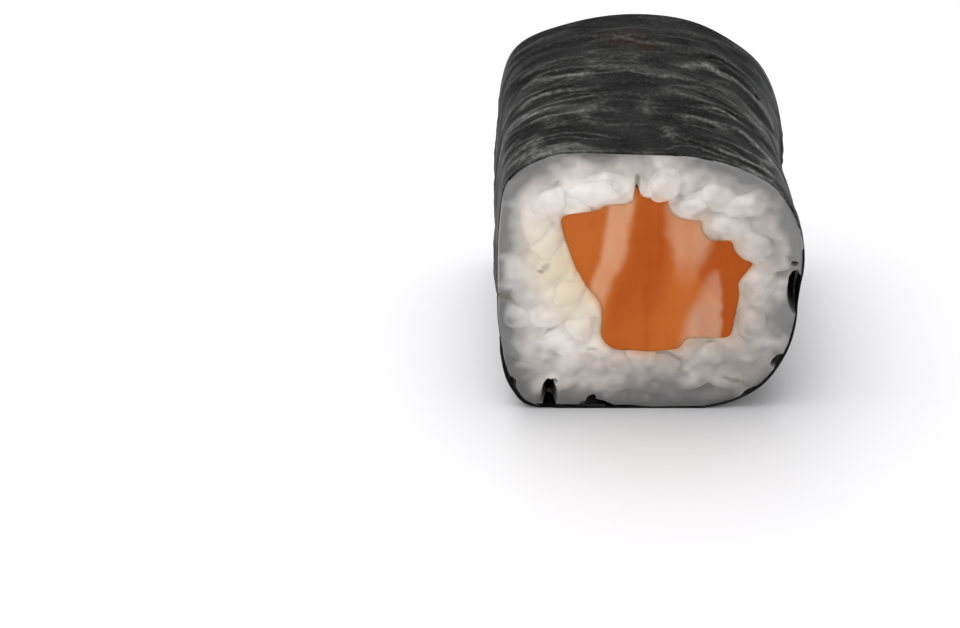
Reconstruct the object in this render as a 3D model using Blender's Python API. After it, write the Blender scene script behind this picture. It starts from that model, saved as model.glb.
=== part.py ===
"""Salmon maki roll: one cut piece of a thin sushi roll, lying on its nori.

Three pieces make it, as in the real food: a strip of raw salmon that runs from one cut face
to the other, the packed rice round it, and one sheet of nori rolled once round the rice, its
end lapped over its start. The roll's axis is Y and its two cut faces look along -Y and +Y.
+X is to the right as seen from the -Y face, and the roll rests on the flat of its underside.

Every section of the roll is a closed curve about one axis, so a point is named by its angle
round the axis (0 along +X, a quarter turn along +Z) and its share of the way along the roll
(0 at the -Y face, 1 at the +Y face). Sizes are in millimetres and the model is in metres.
"""

import math

import bmesh
import bpy
import numpy as np
from mathutils import Matrix, Vector

MM = 0.001

# The whole roll
ROLL_LENGTH = 25.6
AXIS_X = 0.5
AXIS_Z = 15.0

# Outer outline of the nori at each end, anticlockwise from the left of the flat underside
FRONT_OUTLINE = (
    (-10.4, 0.0), (-3.0, 0.0), (5.2, 0.0), (10.2, 2.2), (12.9, 6.8), (13.7, 12.4),
    (13.75, 18.5), (11.9, 23.5), (8.4, 26.6), (3.4, 28.3), (-3.0, 28.7), (-9.2, 28.5),
    (-13.2, 26.1), (-14.2, 22.0), (-14.4, 14.4), (-14.1, 6.8), (-13.0, 2.4),
)
BACK_OUTLINE = (
    (-9.6, 0.0), (-2.6, 0.0), (5.0, 0.0), (10.0, 2.0), (13.0, 6.6), (14.2, 12.4),
    (13.95, 17.6), (12.0, 22.5), (8.8, 25.5), (4.2, 27.8), (-1.6, 28.5), (-7.2, 27.6),
    (-12.0, 25.4), (-13.8, 21.4), (-14.2, 14.2), (-13.7, 7.0), (-12.2, 2.2),
)

# The squeezed right flank: share along the roll, middle angle, half angle, half width, depth
PINCH = (0.53, 10.0, 75.0, 0.34, 1.3)

# The nori sheet
NORI_THICKNESS = 0.35
LAP_GAP = 0.1
LAP_INNER_ANGLE = 253.0
LAP_OUTER_ANGLE = 209.0
LAP_EASE_ANGLE = 14.0
NORI_COLUMNS = 58
NORI_ROWS = 16
EDGE_WAVE = 0.12

# Wrinkles in the nori: share along the roll, angle of the middle, half angle, half width, height
WRINKLES = (
    (0.10, 60.0, 75.0, 0.050, 0.22), (0.22, 118.0, 70.0, 0.060, 0.26),
    (0.34, 35.0, 60.0, 0.050, 0.30), (0.45, 95.0, 85.0, 0.055, 0.22),
    (0.58, 20.0, 55.0, 0.060, 0.32), (0.66, 135.0, 60.0, 0.050, 0.24),
    (0.80, 70.0, 80.0, 0.060, 0.22), (0.90, 10.0, 50.0, 0.050, 0.24),
    (0.18, 185.0, 45.0, 0.060, 0.22), (0.52, 175.0, 50.0, 0.060, 0.26),
    (0.82, 190.0, 45.0, 0.055, 0.22), (0.30, 330.0, 35.0, 0.060, 0.22),
    (0.74, 325.0, 35.0, 0.060, 0.24),
)
WRINKLE_SLANT = 0.06
WRINKLE_CLEAR_HEIGHT = 3.0

# The salmon strip, its outline at the front face, anticlockwise from its right tip
SALMON_OUTLINE = (
    (9.0, 16.6), (8.2, 17.2), (7.3, 18.2), (6.8, 19.2), (5.2, 19.3), (4.3, 20.2),
    (4.0, 21.3), (1.9, 21.8), (1.2, 22.9), (0.6, 23.8), (-0.9, 23.9), (-1.8, 24.6),
    (-2.3, 23.4), (-4.6, 22.9), (-6.5, 22.1), (-8.1, 21.5), (-8.5, 20.2), (-7.6, 17.2),
    (-6.2, 14.2), (-4.9, 12.2), (-4.7, 8.7), (-3.5, 6.9), (-1.4, 6.6), (0.8, 6.5),
    (2.8, 7.0), (3.8, 8.1), (7.4, 8.3), (7.9, 12.0), (8.0, 14.2), (8.6, 15.5),
)
SALMON_SINK = 0.3
SALMON_TWIST = 6.0
SALMON_WAIST = 0.05
SALMON_ROWS = 5
SALMON_COLUMNS = 60

# The rice
PIECE_GAP = 0.3
TUNNEL_GAP = 0.33
CORE_COLUMNS = 60
CORE_FACE_ROWS = 3
CORE_SIDE_ROWS = 4
CORE_DEPTH_AT_NORI = 0.9
CORE_DEPTH_AT_SALMON = 0.4
GRAINS_PER_FACE = 60
GRAIN_SPACING = 1.6
GRAIN_LENGTHS = (3.2, 5.6)
GRAIN_WIDTH = 2.9
GRAIN_HEIGHT = 2.3
GRAIN_SINK = 0.25
GRAIN_TILT = 12.0
GRAIN_SIDES = 8
GRAIN_RINGS = 5
GRAIN_TRIES = 1500
GRAIN_SEED = {"front": 11, "back": 29}
SHORTEST_EDGE = 0.005

COLOURS = {
    "nori": ((0.024, 0.026, 0.022), 0.45),
    "rice": ((0.78, 0.74, 0.66), 0.35),
    "salmon": ((0.66, 0.16, 0.03), 0.32),
}


def smooth_loop(points, steps=16):
    """Closed Catmull-Rom curve through the points."""
    p = np.array(points)
    t = np.linspace(0.0, 1.0, steps, endpoint=False)[:, None]
    spans = []
    for i in range(len(p)):
        a, b, c, d = p[i - 1], p[i], p[(i + 1) % len(p)], p[(i + 2) % len(p)]
        cubic = 2 * b + (c - a) * t + (2 * a - 5 * b + 4 * c - d) * t**2
        spans.append(0.5 * (cubic + (3 * b - a - 3 * c + d) * t**3))
    return np.vstack(spans)


def radius_of(loop, angles):
    """Distance from the axis to a loop, along rays at the angles (radians)."""
    x, z = loop[:, 0] - AXIS_X, loop[:, 1] - AXIS_Z
    turn = np.arctan2(z, x) % (2 * math.pi)
    order = np.argsort(turn)
    return np.interp(angles % (2 * math.pi), turn[order], np.hypot(x, z)[order], period=2 * math.pi)


FRONT_LOOP = smooth_loop(FRONT_OUTLINE)
BACK_LOOP = smooth_loop(BACK_OUTLINE)
SALMON_LOOP = smooth_loop(SALMON_OUTLINE, steps=6)


def ease(x):
    """Smooth step from 0 to 1."""
    x = np.clip(x, 0.0, 1.0)
    return x * x * (3.0 - 2.0 * x)


def turn_from(angles, centre):
    """Degrees from a middle angle, between -180 and 180."""
    return (np.degrees(angles) - centre + 180.0) % 360.0 - 180.0


def pinch_depth(angles, share):
    """How far the right flank is squeezed in, deepest halfway along the roll."""
    middle, centre, reach, width, deep = PINCH
    across = 1.0 - ease(np.abs(turn_from(angles, centre)) / reach)
    return deep * across * np.exp(-(((share - middle) / width) ** 2))


def roll_radius(angles, share):
    """Outer outline of the roll at a share of its length, flat on the floor."""
    radius = (1.0 - share) * radius_of(FRONT_LOOP, angles) + share * radius_of(BACK_LOOP, angles)
    down = np.minimum(np.sin(angles), -1e-6)
    return np.minimum(radius - pinch_depth(angles, share), AXIS_Z / -down)


def wrinkle_height(angles, share):
    """How far the nori stands out of its outline: low ridges that run round the roll."""
    height = np.zeros_like(angles)
    for middle, centre, reach, width, tall in WRINKLES:
        turn = turn_from(angles, centre)
        along = (share - middle - WRINKLE_SLANT * np.sin(np.radians(3.0 * turn))) / width
        height = np.maximum(height, tall * np.exp(-along**2) * (1.0 - ease(np.abs(turn) / reach)))
    lift = AXIS_Z + roll_radius(angles, share) * np.sin(angles)
    return height * ease(lift / WRINKLE_CLEAR_HEIGHT)


def lap_share(angles):
    """1 where the inner end of the sheet lies under the outer one, easing to 0 at both sides."""
    turn = np.degrees(angles) % 360.0
    after = ease((turn - LAP_OUTER_ANGLE + LAP_EASE_ANGLE) / LAP_EASE_ANGLE)
    before = 1.0 - ease((turn - LAP_INNER_ANGLE - 1.0) / LAP_EASE_ANGLE)
    return after * before


def along_ray(angles, radius, share):
    """Points at radii from the axis, as x, y, z in millimetres."""
    x = AXIS_X + radius * np.cos(angles)
    z = AXIS_Z + radius * np.sin(angles)
    return np.stack([x, np.broadcast_to((share - 0.5) * ROLL_LENGTH, x.shape), z], axis=-1)


def ray_slope(radius_function, angles, share):
    """Length along the ray of one millimetre square to the outline."""
    small = 0.01
    step = radius_function(angles + small, share) - radius_function(angles - small, share)
    return np.sqrt(1.0 + (step / (2 * small) / radius_function(angles, share)) ** 2)


def rice_radius(angles, share):
    """Outer outline of the rice: inside the nori, its lap and the gap between the pieces."""
    inset = NORI_THICKNESS + PIECE_GAP + (NORI_THICKNESS + LAP_GAP) * lap_share(angles)
    return roll_radius(angles, share) - inset * ray_slope(roll_radius, angles, share)


def salmon_radius(angles, share):
    """Outline of the salmon, which turns and thins a little on its way through the roll."""
    turned = angles - math.radians(SALMON_TWIST) * share
    return radius_of(SALMON_LOOP, turned) * (1.0 - SALMON_WAIST * math.sin(math.pi * share))


def tunnel_radius(angles, share):
    """Inner outline of the rice: the widest salmon within a few degrees, and the gap."""
    around = [salmon_radius(angles + math.radians(d), share) for d in (-3.0, 0.0, 3.0)]
    return np.max(around, axis=0) + TUNNEL_GAP


def material(name):
    """Principled material in the piece's own colour."""
    colour, roughness = COLOURS[name]
    made = bpy.data.materials.new(name)
    made.use_nodes = True
    shader = made.node_tree.nodes["Principled BSDF"]
    shader.inputs["Base Color"].default_value = (*colour, 1.0)
    shader.inputs["Roughness"].default_value = roughness
    shader.inputs["Metallic"].default_value = 0.0
    return made


def new_object(name, bm, collection=None):
    """Object from a bmesh in millimetres, shaded smooth, in metres."""
    bmesh.ops.scale(bm, vec=(MM, MM, MM), verts=bm.verts)
    mesh = bpy.data.meshes.new(name)
    bm.to_mesh(mesh)
    bm.free()
    mesh.shade_smooth()
    made = bpy.data.objects.new(name, mesh)
    (collection or bpy.context.scene.collection).objects.link(made)
    return made


def grid_faces(bm, rings, close_rings):
    """Quads between successive rings of points, each ring closed or open."""
    loops = [[bm.verts.new(point) for point in ring] for ring in rings]
    for one, two in zip(loops[:-1], loops[1:]):
        count = len(one)
        for j in range(count if close_rings else count - 1):
            k = (j + 1) % count
            bm.faces.new((one[j], one[k], two[k], two[j]))
    return loops


def make_nori():
    """One sheet rolled once round the rice, its outer end lapped over its inner end."""
    turns = 360.0 + LAP_INNER_ANGLE - LAP_OUTER_ANGLE
    travel = np.linspace(0.0, turns, NORI_COLUMNS + 1)
    angles = np.radians(LAP_INNER_ANGLE - travel)
    lap = LAP_INNER_ANGLE - LAP_OUTER_ANGLE
    under = 1.0 - ease((travel - lap - 2.0) / (LAP_EASE_ANGLE - 3.0))
    rows = []
    for i in range(NORI_ROWS + 1):
        share = i / NORI_ROWS
        depth = under * (NORI_THICKNESS + LAP_GAP) * ray_slope(roll_radius, angles, share)
        edge = abs(2.0 * share - 1.0) ** 8
        radius = roll_radius(angles, share) - depth + wrinkle_height(angles, share) * (1.0 - edge)
        points = along_ray(angles, radius, share)
        off_floor = ease(points[:, 2] / WRINKLE_CLEAR_HEIGHT)
        points[:, 1] += edge * off_floor * EDGE_WAVE * np.sin(3.0 * angles + 4.0 * share)
        rows.append(points)
    bm = bmesh.new()
    grid_faces(bm, rows, close_rings=False)
    sheet = new_object("nori", bm)
    thick = sheet.modifiers.new("sheet thickness", "SOLIDIFY")
    thick.thickness = NORI_THICKNESS * MM
    thick.offset = -1.0
    thick.use_even_offset = True
    sheet.data.materials.append(material("nori"))
    return sheet


def make_salmon():
    """Strip of salmon from face to face, cut flat at both ends."""
    angles = np.linspace(0.0, 2 * math.pi, SALMON_COLUMNS, endpoint=False)
    start = SALMON_SINK / ROLL_LENGTH
    shares = np.linspace(start, 1.0 - start, SALMON_ROWS + 1)
    rings = [along_ray(angles, salmon_radius(angles, s), s) for s in shares]
    bm = bmesh.new()
    loops = grid_faces(bm, rings, close_rings=True)
    bm.faces.new(loops[0])
    bm.faces.new(loops[-1])
    bmesh.ops.recalc_face_normals(bm, faces=bm.faces)
    strip = new_object("salmon", bm)
    strip.data.materials.append(material("salmon"))
    strip.data.set_sharp_from_angle(angle=math.radians(40.0))
    return strip


def face_depth(across):
    """Depth of the core's end under the cut, deepest beside the nori (across 1)."""
    return CORE_DEPTH_AT_SALMON + (CORE_DEPTH_AT_NORI - CORE_DEPTH_AT_SALMON) * across**2


def core_ring(angles, share, across, end):
    """Ring of the core's end face, a share of the way from the tunnel to the outer side."""
    inner, outer = tunnel_radius(angles, share), rice_radius(angles, share)
    points = along_ray(angles, inner + (outer - inner) * across, share)
    points[:, 1] -= end * face_depth(across)
    return points


def make_core():
    """Rice between the salmon's tunnel and the nori, with ends a little inside the cut faces."""
    angles = np.linspace(0.0, 2 * math.pi, CORE_COLUMNS, endpoint=False)
    across = np.linspace(0.0, 1.0, CORE_FACE_ROWS + 1)
    between = np.linspace(0.0, 1.0, CORE_SIDE_ROWS + 1)[1:-1]
    first, last = CORE_DEPTH_AT_NORI / ROLL_LENGTH, 1.0 - CORE_DEPTH_AT_NORI / ROLL_LENGTH
    middle = first + (last - first) * between
    rings = [core_ring(angles, 0.0, a, -1.0) for a in across]
    rings += [along_ray(angles, rice_radius(angles, s), s) for s in middle]
    rings += [core_ring(angles, 1.0, a, 1.0) for a in across[::-1]]
    rings += [along_ray(angles, tunnel_radius(angles, s), s) for s in middle[::-1]]
    bm = bmesh.new()
    loops = grid_faces(bm, rings, close_rings=True)
    for j, vert in enumerate(loops[-1]):
        k = (j + 1) % CORE_COLUMNS
        bm.faces.new((vert, loops[-1][k], loops[0][k], loops[0][j]))
    bmesh.ops.recalc_face_normals(bm, faces=bm.faces)
    return new_object("rice", bm)


def grain_fits(centres, turns, length, share):
    """Which of the grains lying on the face stay between the salmon and the nori."""
    t = np.linspace(0.0, 2 * math.pi, 12, endpoint=False)
    u, w = 0.5 * length * np.cos(t), 0.5 * GRAIN_WIDTH * np.sin(t)
    turns = turns[:, None]
    x = centres[:, :1] + u * np.cos(turns) - w * np.sin(turns) - AXIS_X
    z = centres[:, 1:] + u * np.sin(turns) + w * np.cos(turns) - AXIS_Z
    angles, radius = np.arctan2(z, x), np.hypot(x, z)
    inside = radius < rice_radius(angles, share)
    return np.all(inside & (radius > tunnel_radius(angles, share)), axis=1)


def scatter_grains(share, seed):
    """Places on one face, longest grain first, each as far from the others as its tries allow."""
    draw = np.random.default_rng(seed)
    lengths = np.sort(draw.uniform(*GRAIN_LENGTHS, GRAINS_PER_FACE))[::-1]
    placed = []
    for length in lengths:
        angles = draw.uniform(0.0, 2 * math.pi, GRAIN_TRIES)
        across = draw.uniform(0.1, 0.9, GRAIN_TRIES)
        turns = draw.uniform(0.0, math.pi, GRAIN_TRIES)
        inner, outer = tunnel_radius(angles, share), rice_radius(angles, share)
        centres = along_ray(angles, inner + (outer - inner) * across, share)[:, ::2]
        room = np.full(GRAIN_TRIES, 99.0)
        for other in placed:
            room = np.minimum(room, np.hypot(*(centres - other[0]).T))
        room = np.where(grain_fits(centres, turns, length, share), room, 0.0)
        best = int(np.argmax(room))
        if room[best] > GRAIN_SPACING:
            placed.append((centres[best], turns[best], length, across[best]))
    return placed


def make_grain(index, place, share, end, collection):
    """One grain as a low-sided ellipsoid, half sunk in the core's end."""
    (x, z), turn, length, across = place
    draw = np.random.default_rng(index)
    tilt = math.radians(draw.uniform(-GRAIN_TILT, GRAIN_TILT))
    bm = bmesh.new()
    bmesh.ops.create_uvsphere(bm, u_segments=GRAIN_SIDES, v_segments=GRAIN_RINGS, radius=0.5)
    bmesh.ops.scale(bm, vec=(GRAIN_WIDTH, GRAIN_HEIGHT, length), verts=bm.verts)
    y = (share - 0.5) * ROLL_LENGTH - end * (face_depth(across) + GRAIN_SINK)
    lie = Matrix.Rotation(math.pi / 2 - turn, 4, "Y") @ Matrix.Rotation(tilt, 4, "X")
    bmesh.ops.transform(bm, matrix=Matrix.Translation(Vector((x, y, z))) @ lie, verts=bm.verts)
    return new_object(f"grain_{index}", bm, collection)


def largest_shell(bm):
    """Keeps the largest connected shell: sealed hollows fill and loose scraps go."""
    left, shells = set(bm.verts), []
    while left:
        shell, front = set(), [next(iter(left))]
        while front:
            vert = front.pop()
            if vert in shell:
                continue
            shell.add(vert)
            front += [edge.other_vert(vert) for edge in vert.link_edges]
        left -= shell
        shells.append(shell)
    keep = max(shells, key=len)
    bmesh.ops.delete(bm, geom=[v for v in bm.verts if v not in keep], context="VERTS")


def make_rice():
    """The core with whole grains fused on at both cut faces."""
    core = make_core()
    grains = bpy.data.collections.new("grains")
    bpy.context.scene.collection.children.link(grains)
    index = 0
    for share, end, side in ((0.0, -1.0, "front"), (1.0, 1.0, "back")):
        for place in scatter_grains(share, GRAIN_SEED[side]):
            make_grain(index, place, share, end, grains)
            index += 1
    join = core.modifiers.new("fuse grains", "BOOLEAN")
    join.operation = "UNION"
    join.operand_type = "COLLECTION"
    join.collection = grains
    join.solver = "EXACT"
    fused = bpy.data.meshes.new_from_object(core.evaluated_get(bpy.context.evaluated_depsgraph_get()))
    core.modifiers.clear()
    bm = bmesh.new()
    bm.from_mesh(fused)
    bmesh.ops.dissolve_degenerate(bm, edges=bm.edges, dist=SHORTEST_EDGE * MM)
    bmesh.ops.triangulate(bm, faces=bm.faces)
    largest_shell(bm)
    bm.to_mesh(core.data)
    bm.free()
    for grain in list(grains.objects):
        bpy.data.objects.remove(grain)
    bpy.data.collections.remove(grains)
    core.data.materials.append(material("rice"))
    core.data.set_sharp_from_angle(angle=math.radians(50.0))
    return core


def stand_on_origin(pieces):
    """Moves the pieces so that the middle of the underside is the origin."""
    graph = bpy.context.evaluated_depsgraph_get()
    corners = [Vector(c) for piece in pieces for c in piece.evaluated_get(graph).bound_box]
    low = [min(c[i] for c in corners) for i in range(3)]
    high = [max(c[i] for c in corners) for i in range(3)]
    for piece in pieces:
        piece.location = (-(low[0] + high[0]) / 2, -(low[1] + high[1]) / 2, -low[2])


def main():
    """Builds the roll."""
    for old in list(bpy.data.objects):
        bpy.data.objects.remove(old)
    stand_on_origin([make_nori(), make_salmon(), make_rice()])


main()
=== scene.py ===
"""Looks of the salmon maki roll: packed rice, a marbled strip of salmon and a wrinkled nori wrap.

Each piece is a surface worked out with numpy in the roll's own sizes, in millimetres, about the
roll's axis. A point of a section is named by its angle round the axis (0 along +X, a quarter
turn along +Z) and its share of the way along the roll (0 at the front cut, 1 at the back cut).
"""

import logging
import math
from dataclasses import dataclass
from enum import Enum

import bpy
import numpy as np
from bpy.types import Material, Node, NodeSocket, Object
from mathutils import Euler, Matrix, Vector


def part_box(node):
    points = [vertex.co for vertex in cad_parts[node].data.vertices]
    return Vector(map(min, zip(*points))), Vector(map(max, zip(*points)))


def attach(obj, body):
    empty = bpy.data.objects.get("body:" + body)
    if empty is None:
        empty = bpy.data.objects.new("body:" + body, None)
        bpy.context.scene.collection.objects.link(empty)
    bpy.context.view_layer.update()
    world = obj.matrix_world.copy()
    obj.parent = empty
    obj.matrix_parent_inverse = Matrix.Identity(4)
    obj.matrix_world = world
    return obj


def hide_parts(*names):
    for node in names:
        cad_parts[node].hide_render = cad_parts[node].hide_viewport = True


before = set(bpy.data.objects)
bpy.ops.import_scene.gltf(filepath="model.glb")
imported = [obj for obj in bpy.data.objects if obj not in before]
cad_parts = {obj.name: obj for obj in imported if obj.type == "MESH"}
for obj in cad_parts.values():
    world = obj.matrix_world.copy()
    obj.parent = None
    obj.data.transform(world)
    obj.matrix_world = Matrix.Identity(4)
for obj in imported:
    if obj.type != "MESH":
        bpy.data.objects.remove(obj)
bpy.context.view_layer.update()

Array = np.ndarray
MM = 0.001
TURN = 2.0 * math.pi
log = logging.getLogger("maki")

Points = tuple[tuple[float, float], ...]


class Cut(Enum):
    """The two cut faces of the roll, as shares of the way along it."""

    FRONT = 0
    BACK = 1

    @property
    def share(self) -> float:
        """Share of the way along the roll."""
        return float(self.value)

    @property
    def outward(self) -> float:
        """Sign of the face's outward direction along Y."""
        return 2.0 * self.value - 1.0


def ease(x: Array | float) -> Array:
    """Smooth step 3x^2 - 2x^3 from 0 to 1, held at both ends."""
    x = np.clip(x, 0.0, 1.0)
    return x * x * (3.0 - 2.0 * x)


def bell(x: Array) -> Array:
    """exp(-x^2): 1 at 0, falling off softly at both sides."""
    return np.exp(-(x**2))


def turn_from(angles: Array, centre: float) -> Array:
    """Degrees from a middle angle, between -180 and 180."""
    return (np.degrees(angles) - centre + 180.0) % 360.0 - 180.0


def facing(angles: Array, centre: float) -> Array:
    """Cosine of the turn from a middle angle in degrees."""
    return np.cos(angles - math.radians(centre))


def lattice_noise(x: Array, y: Array | float, seed: int) -> Array:
    """Smooth noise from 0 to 1: a random value at each whole number, eased between them.

    Args:
        x: First coordinate, in lattice steps.
        y: Second coordinate, in lattice steps.
        seed: Seed of the lattice's values.

    Returns:
        The noise at each point.
    """
    side = 64
    values = np.random.default_rng(seed).random((side, side))
    left, low = np.floor(x).astype(int), np.floor(y).astype(int)
    u, v = ease(x - left), ease(y - low)
    below = values[left % side, low % side] * (1 - u) + values[(left + 1) % side, low % side] * u
    low = low + 1
    above = values[left % side, low % side] * (1 - u) + values[(left + 1) % side, low % side] * u
    return below * (1 - v) + above * v


def smooth_loop(points: Points, steps: int) -> Array:
    """Closed Catmull-Rom curve through the points.

    Args:
        points: Corners of the outline, as x and z.
        steps: Points on each span.

    Returns:
        The curve's points, one row each.
    """
    p = np.array(points)
    t = np.linspace(0.0, 1.0, steps, endpoint=False)[:, None, None]
    a, b, c, d = np.roll(p, 1, 0), p, np.roll(p, -1, 0), np.roll(p, -2, 0)
    cubic = 2 * b + (c - a) * t + (2 * a - 5 * b + 4 * c - d) * t**2 + (3 * b - a - 3 * c + d) * t**3
    return 0.5 * cubic.transpose(1, 0, 2).reshape(-1, 2)


@dataclass(frozen=True)
class RollForm:
    """The roll's sections and sizes, the same as the solids'.

    `pinch` gives the share along the roll, the middle angle and reach in degrees, the width as a
    share and the depth of the squeeze in the right flank.
    """

    length: float = 25.6
    axis_x: float = 0.5
    axis_z: float = 15.0
    front_outline: Points = (
        (-10.4, 0.0), (-3.0, 0.0), (5.2, 0.0), (10.2, 2.2), (12.9, 6.8), (13.7, 12.4),
        (13.75, 18.5), (11.9, 23.5), (8.4, 26.6), (3.4, 28.3), (-3.0, 28.7), (-9.2, 28.5),
        (-13.2, 26.1), (-14.2, 22.0), (-14.4, 14.4), (-14.1, 6.8), (-13.0, 2.4),
    )
    back_outline: Points = (
        (-9.6, 0.0), (-2.6, 0.0), (5.0, 0.0), (10.0, 2.0), (13.0, 6.6), (14.2, 12.4),
        (13.95, 17.6), (12.0, 22.5), (8.8, 25.5), (4.2, 27.8), (-1.6, 28.5), (-7.2, 27.6),
        (-12.0, 25.4), (-13.8, 21.4), (-14.2, 14.2), (-13.7, 7.0), (-12.2, 2.2),
    )
    pinch: tuple[float, float, float, float, float] = (0.53, 10.0, 75.0, 0.34, 1.3)
    salmon_outline: Points = (
        (9.05, 16.6), (8.2, 17.1), (7.4, 18.0), (6.9, 19.1), (5.2, 19.2), (4.3, 20.1),
        (4.1, 21.2), (3.0, 21.4), (1.8, 21.8), (1.1, 22.9), (0.8, 23.8), (-0.9, 23.8),
        (-1.6, 24.3), (-1.85, 25.2), (-2.1, 24.2), (-2.3, 23.3), (-3.3, 23.1), (-4.6, 22.95),
        (-5.5, 22.4), (-7.5, 22.1), (-8.45, 21.75), (-8.65, 21.1), (-8.4, 19.9), (-8.0, 18.5),
        (-7.2, 16.1), (-6.2, 14.1), (-4.9, 12.2), (-4.65, 10.4), (-4.7, 8.7), (-4.2, 7.5),
        (-3.2, 6.8), (-1.5, 6.65), (0.2, 6.5), (1.7, 6.7), (2.7, 6.95), (3.15, 7.7),
        (3.9, 8.1), (5.7, 8.15), (7.4, 8.35), (7.75, 10.3), (8.05, 12.8), (7.95, 14.4),
        (8.5, 15.5),
    )
    salmon_twist: float = 6.0
    salmon_waist: float = 0.05
    mean_radius: float = 14.0
    nori_thickness: float = 0.16
    lap_gap: float = 0.06
    edge_wave: float = 0.12
    lap_inner_angle: float = 253.0
    lap_outer_angle: float = 209.0
    lap_ease_angle: float = 14.0
    small_turns: tuple[float, float, float] = (0.01, 0.0, -0.01)

    def loop_radius(self, loop: Array, angles: Array) -> Array:
        """Distance from the axis to a loop, along rays at the angles.

        Args:
            loop: The loop's points, one row each.
            angles: Rays, in radians.

        Returns:
            The radius at each angle.
        """
        x, z = loop[:, 0] - self.axis_x, loop[:, 1] - self.axis_z
        turn = np.arctan2(z, x) % TURN
        order = np.argsort(turn)
        return np.interp(angles % TURN, turn[order], np.hypot(x, z)[order], period=TURN)

    def pinch_depth(self, angles: Array, share: Array | float) -> Array:
        """How far the right flank is squeezed in: d (1 - ease(turn / reach)) exp(-(run / width)^2).

        Args:
            angles: Rays, in radians.
            share: Share of the way along.

        Returns:
            The depth at each angle.
        """
        middle, centre, reach, width, deep = self.pinch
        across = 1.0 - ease(np.abs(turn_from(angles, centre)) / reach)
        return deep * across * bell((share - middle) / width)

    def roll_radius(self, angles: Array, share: Array | float) -> Array:
        """Outer outline of the nori: the two end outlines blended, cut flat at the floor.

        Args:
            angles: Rays, in radians.
            share: Share of the way along.

        Returns:
            The radius at each angle.
        """
        front = self.loop_radius(smooth_loop(self.front_outline, 16), angles)
        back = self.loop_radius(smooth_loop(self.back_outline, 16), angles)
        radius = (1.0 - share) * front + share * back - self.pinch_depth(angles, share)
        return np.minimum(radius, self.axis_z / -np.minimum(np.sin(angles), -1e-6))

    def slope(self, angles: Array, share: Array | float) -> Array:
        """Length along the ray of one millimetre square to the outline."""
        ahead, here, behind = (self.roll_radius(angles + turn, share) for turn in self.small_turns)
        return np.sqrt(1.0 + ((ahead - behind) / (2 * self.small_turns[0]) / here) ** 2)

    def lap_share(self, angles: Array) -> Array:
        """1 where the sheet's inner end lies under its outer end, eased to 0 at both sides.

        Args:
            angles: Rays, in radians.

        Returns:
            The share at each angle.
        """
        turn = np.degrees(angles) % 360.0
        after = ease((turn - self.lap_outer_angle + self.lap_ease_angle) / self.lap_ease_angle)
        return after * (1.0 - ease((turn - self.lap_inner_angle - 1.0) / self.lap_ease_angle))

    def nori_end(self, angles: Array, share: Array | float) -> Array:
        """How far the sheet's cut edge waves along Y, straight where the roll rests."""
        lift = self.axis_z + self.roll_radius(angles, share) * np.sin(angles)
        return self.edge_wave * ease(lift / 3.0) * np.sin(3.0 * angles + 4.0 * share)

    def rice_radius(self, angles: Array, share: Array | float, gap: float) -> Array:
        """Outline of the rice, with a gap inside the nori and inside its lap."""
        inset = self.nori_thickness + gap + (self.nori_thickness + self.lap_gap) * self.lap_share(angles)
        return self.roll_radius(angles, share) - inset * self.slope(angles, share)

    def salmon_radius(self, angles: Array, share: Array | float) -> Array:
        """Outline of the salmon, which turns and thins a little on its way through the roll.

        Args:
            angles: Rays, in radians.
            share: Share of the way along.

        Returns:
            The radius at each angle.
        """
        turned = angles - math.radians(self.salmon_twist) * share
        loop = self.loop_radius(smooth_loop(self.salmon_outline, 8), turned)
        return loop * (1.0 - self.salmon_waist * np.sin(math.pi * np.asarray(share)))

    def place(self, angles: Array, radius: Array, y: Array | float) -> Array:
        """Points x, y, z on rays: x = axis + r cos a, z = axis + r sin a, with y given."""
        x, z = self.axis_x + radius * np.cos(angles), self.axis_z + radius * np.sin(angles)
        return np.stack(np.broadcast_arrays(x, y, z), axis=-1)

    def polar(self, points: Array) -> tuple[Array, Array]:
        """Angle and distance from the axis of points with x, y, z last."""
        x, z = points[..., 0] - self.axis_x, points[..., 2] - self.axis_z
        return np.arctan2(z, x), np.hypot(x, z)

    def over_cut(self, cut: Cut, height: Array | float) -> Array | float:
        """Place along Y of a height over a cut plane."""
        return (cut.share - 0.5) * self.length + cut.outward * height

    def rings(self, angles: Array, radius: Array, rims: tuple[Array, Array], shares: Array) -> Array:
        """Rings between two rims, their place along Y going evenly from one to the other."""
        return self.place(angles, radius, rims[0][:, 1] * (1.0 - shares) + rims[1][:, 1] * shares)


FORM = RollForm()


def design_shift() -> Vector:
    """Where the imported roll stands, against the sizes above, from the box of its salmon.

    Returns:
        The shift in metres.
    """
    angles = np.linspace(0.0, TURN, 60, endpoint=False)
    shares = np.linspace(0.0, 1.0, 6)[:, None]
    reach = FORM.axis_x + FORM.salmon_radius(angles, shares) * np.cos(angles)
    low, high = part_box("salmon")
    middle = (np.min(reach) + np.max(reach)) / 2 * MM
    return Vector(((low.x + high.x) / 2 - middle, (low.y + high.y) / 2, 0.0))


SHIFT = design_shift()


def linear(hex_colour: str) -> tuple[float, float, float, float]:
    """Linear RGBA of an sRGB hex colour such as "b5541e"."""
    parts = [int(hex_colour[i : i + 2], 16) / 255.0 for i in (0, 2, 4)]
    return (*(c / 12.92 if c <= 0.04045 else ((c + 0.055) / 1.055) ** 2.4 for c in parts), 1.0)


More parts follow.
